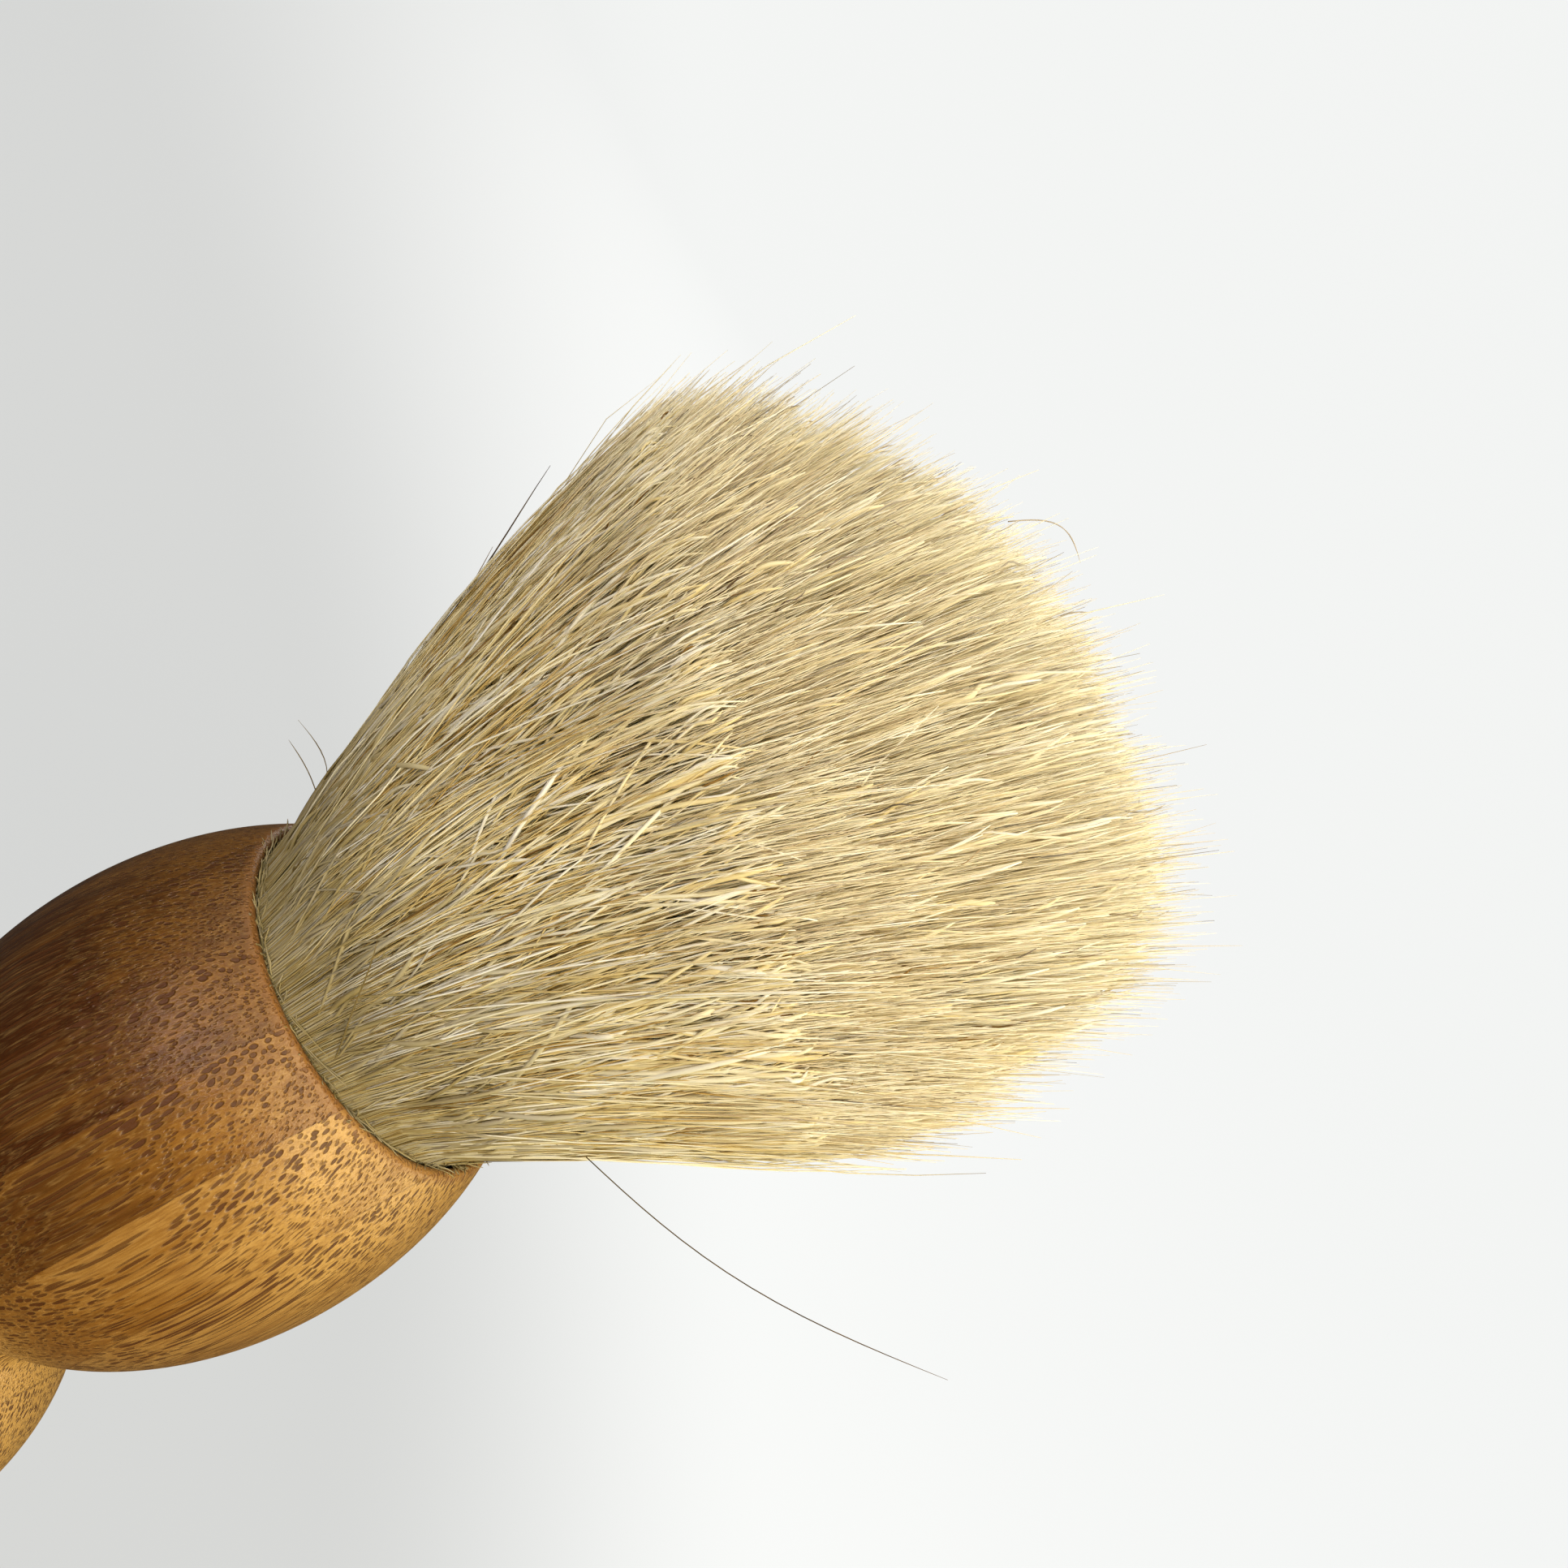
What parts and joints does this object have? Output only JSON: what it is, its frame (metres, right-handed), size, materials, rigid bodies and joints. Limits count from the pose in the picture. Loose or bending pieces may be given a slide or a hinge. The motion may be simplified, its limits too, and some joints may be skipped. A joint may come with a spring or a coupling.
{
  "type": "neck duster brush",
  "caption": "Neck duster brush: a gourd-shaped turned handle of laminated bamboo with a flat foot, holding a flared, domed tuft of natural hair.",
  "frame": {"origin": "centre of the flat foot that the brush stands on", "axes": "+Z along the brush axis, from the foot to the tips of the hair; +X across the glued bamboo strips"},
  "size_m": [0.0578, 0.0578, 0.142],
  "materials": {
    "bamboo": "satin lacquer over carbonised bamboo",
    "adhesive": "cured adhesive",
    "resin": "cast resin",
    "thread": "twisted thread",
    "hair": "natural hair, straight, slightly glossy"
  },
  "bodies": {
    "root": {"bamboo_strip_1_head": "bamboo", "bamboo_strip_1_foot": "bamboo", "bamboo_strip_2": "bamboo", "bamboo_strip_3": "bamboo", "bamboo_strip_4": "bamboo", "bamboo_strip_5": "bamboo", "bamboo_strip_6_head": "bamboo", "bamboo_strip_6_foot": "bamboo", "socket_adhesive": "adhesive", "knot_resin_plug": "resin", "root_binding_thread": "thread", "hair_tuft": "hair"}
  },
  "joints": []
}
